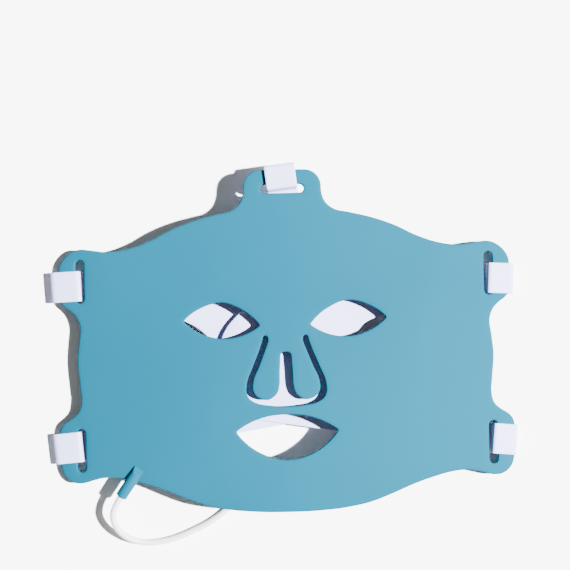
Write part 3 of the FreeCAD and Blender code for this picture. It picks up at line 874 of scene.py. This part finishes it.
def makeLoops():
    half = webbing["thickness"] / mm / 2
    shift = dome["drawingShift"] / mm
    for level, loop in earLoops.items():
        for side, sign in (("left", -1), ("right", 1)):
            fold = loop["folds"][sign > 0] - loop["slot"] + 0.4
            topOuter = inMillimetres(domeHeight(loop["edge"] * mm, (loop["y"] - shift) * mm)) + half + 0.4
            topInner = inMillimetres(domeHeight(loop["slot"] * mm, (loop["y"] - shift) * mm)) + half + 0.75
            points = [(-14, half + 0.05), (fold, half + 0.05), (fold, topOuter), (0.6, topInner),
                      (-0.6, 3 * half + 0.5), (-12, 3 * half + 0.3)]
            line = roundedPath(points, (2.4, 2.4, 1.3, 1.8), webbing["spacing"])
            turn = math.radians(-loop["tilt"] if sign > 0 else 180 + loop["tilt"])
            place = Vector((sign * (loop["slot"] - 0.4), loop["y"] - shift, 0)) * mm
            name = f"{level}_{side}"
            piece, length = ribbon(
                level + side.title() + "Loop", line, webbing["width"], webbing["thickness"], place, turn,
                finishes["webbing"], name + "_webbing", skew=loop["skew"][sign > 0] * sign * mm,
                ripple=0.12 * mm)
            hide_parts(name + "_loop")
    above = inMillimetres(domeHeight(0, (103.4 - shift) * mm))
    below = above - inMillimetres(dome["thickness"])
    points = [(-13, below - 1.2), (14.6, below - 1.2), (14.6, above + half + 1.5),
              (0.6, inMillimetres(domeHeight(0, (91.8 - shift) * mm)) + half + 1.3),
              (-0.8, below + half - 0.4), (-12, below)]
    line = roundedPath(points, (2.4, 2.4, 1.3, 1.2), webbing["spacing"])
    place = Vector((0.1, 91.8 - shift, 0)) * mm
    piece, length = ribbon(
        "topLoopSoft", line, webbing["width"], webbing["thickness"], place, math.radians(96.5),
        finishes["webbing"], "top_webbing", ripple=0.1 * mm)
    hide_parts("top_loop")
    print("webbing loops made")


runs = {
    "lower": {"start": 112.5, "y": -60.2, "tilt": 9.2, "reach": 134, "tops": {"right": 9.6, "left": 7.5}},
    "upper": {"start": 110.5, "y": 35.4, "tilt": -1.5, "reach": 58, "tops": {"right": 11.2, "left": 9.7}},
}


def makeRuns():
    # the long straps behind the face; their outer ends follow the webbing loops
    half = webbing["thickness"] / mm / 2
    shift = dome["drawingShift"] / mm
    low = 4 * half + 0.9
    for level, run in runs.items():
        for side, sign in (("left", -1), ("right", 1)):
            top = run["tops"][side] - half
            line = roundedPath([(0, low), (7, low), (44, top), (run["reach"], top)], (6, 14), 2 * mm)
            turn = math.radians(180 - run["tilt"] if sign > 0 else run["tilt"])
            place = Vector((sign * run["start"], run["y"] - shift, 0)) * mm
            piece, length = ribbon(
                level + side.title() + "Run", line, webbing["width"], webbing["thickness"], place, turn,
                finishes["webbing"], None, ripple=0.1 * mm)
            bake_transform(piece)
            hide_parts(f"{level}_{side}_strap")
    line = roundedPath([(0, 15.6), (6, 15.6), (30, 14.1), (46, 14.1)], (5, 8), 2 * mm)
    place = Vector((0.1, 77.5 - shift, 0)) * mm
    piece, length = ribbon(
        "topRunSoft", line, webbing["width"], webbing["thickness"], place, math.radians(-88),
        finishes["webbing"], None, ripple=0.08 * mm)
    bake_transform(piece)
    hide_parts("top_strap")
    print("straps made")


bands = {
    # the upper band arches towards the sheet behind the nose
    "right_head_band": {"weave": math.radians(24), "name": "rightBand", "arch": 5.4 * mm},
    "left_head_band": {"weave": math.radians(-24), "name": "leftBand", "arch": 0.5 * mm},
    "archCentre": (-4 * mm, -22 * mm),
    "archReach": (48 * mm, 60 * mm),
}


def flatOutline(nodeName):
    # the closed edge of a flat CAD piece's upper face
    mesh = nodes[nodeName].data
    top = max(v.co.z for v in mesh.vertices)
    directed = set()
    for face in mesh.polygons:
        ring = [tuple(round(c, 6) for c in mesh.vertices[i].co) for i in face.vertices]
        if all(abs(key[2] - top) < 0.01 * mm for key in ring):
            directed |= set(zip(ring, ring[1:] + ring[:1]))
    after = {a: b for a, b in directed if (b, a) not in directed}
    start = next(iter(sorted(after)))
    loop = [start]
    while after[loop[-1]] != start:
        loop.append(after[loop[-1]])
    return [Vector(key[:2]) for key in loop], top


def bandRise(x, y, arch):
    across = (x - bands["archCentre"][0]) / bands["archReach"][0]
    along = (y - bands["archCentre"][1]) / bands["archReach"][1]
    wave = 0.22 * mm * noise.noise(Vector((x * 28, y * 28, 5.5)))
    return wave + arch * math.exp(-1.3 * (across * across + along * along) ** 2)


def makeBands():
    # the two wide halves of the rear band, closed on each other behind the eyes and nose
    for nodeName in ("right_head_band", "left_head_band"):
        band = bands[nodeName]
        arch = band["arch"]
        loop, top = flatOutline(nodeName)
        loop = relax(resample(loop, 1.1 * mm), 2)
        if loopArea(loop) < 0:
            loop.reverse()
        thickness = webbing["thickness"]
        vertices, faces = softSheet(
            [loop], lambda x, y: top + bandRise(x, y, arch),
            lambda x, y: top - thickness + bandRise(x, y, arch), 0.42 * mm, 3 * mm, 3)
        piece = newPiece(band["name"], vertices, faces, finishes["band"], "mask")
        c, s = math.cos(band["weave"]), math.sin(band["weave"])
        setWeave(piece, [(v.co.x * c + v.co.y * s, v.co.y * c - v.co.x * s) for v in piece.data.vertices])
        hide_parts(nodeName)
    print("head bands made")


def makeTie():
    # a hook-and-loop tie once round the coil's section, its end lapped on top
    inner, outer = 12.9, 28.9
    points = [(22, 8.5), (outer, 8.5), (outer, 0.32), (inner, 0.32), (inner, 8.55), (15.5, 9.05), (26, 9.1)]
    line = roundedPath(points, (1.6, 1.6, 1.6, 1.6, 1.0), 0.6 * mm)
    shift = dome["drawingShift"] / mm
    place = Vector((cord["coilCentre"][0], cord["coilCentre"][1] - shift, 0)) * mm
    piece, _ = ribbon("coilTie", line, 7 * mm, 0.48 * mm, place, math.pi / 2, finishes["tie"], "mask")
    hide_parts("cable_tie")
    return piece


cadFinishes = {
    "face_liner": "liner", "flex_circuit": "film", "red_lamps": "redLamp", "infrared_lamps": "darkLamp",
    "resistors": "resistor", "lead_wires": "wire", "solder_tabs": "solder", "plug_shell": "steel",
    "plug_contacts": "gold", "plug_body": "plug", "plug_boot": "plug", "cable_tie": "tie",
}


def dressCadPieces():
    for name, item in nodes.items():
        finish = finishes[cadFinishes.get(name, "webbing")]
        item.data.materials.clear()
        item.data.materials.append(finish)


makeCamera()
makeLights()
makeFinishes()
makeFloor()
dressCadPieces()
lead = makeCord()
onCord = [makeBoot(), makeTie(), nodes["plug_body"], nodes["plug_shell"], nodes["plug_contacts"]]
print("cord made")
softMask = makeMask()
makeSleeve()
makeLoops()
makeRuns()
makeBands()
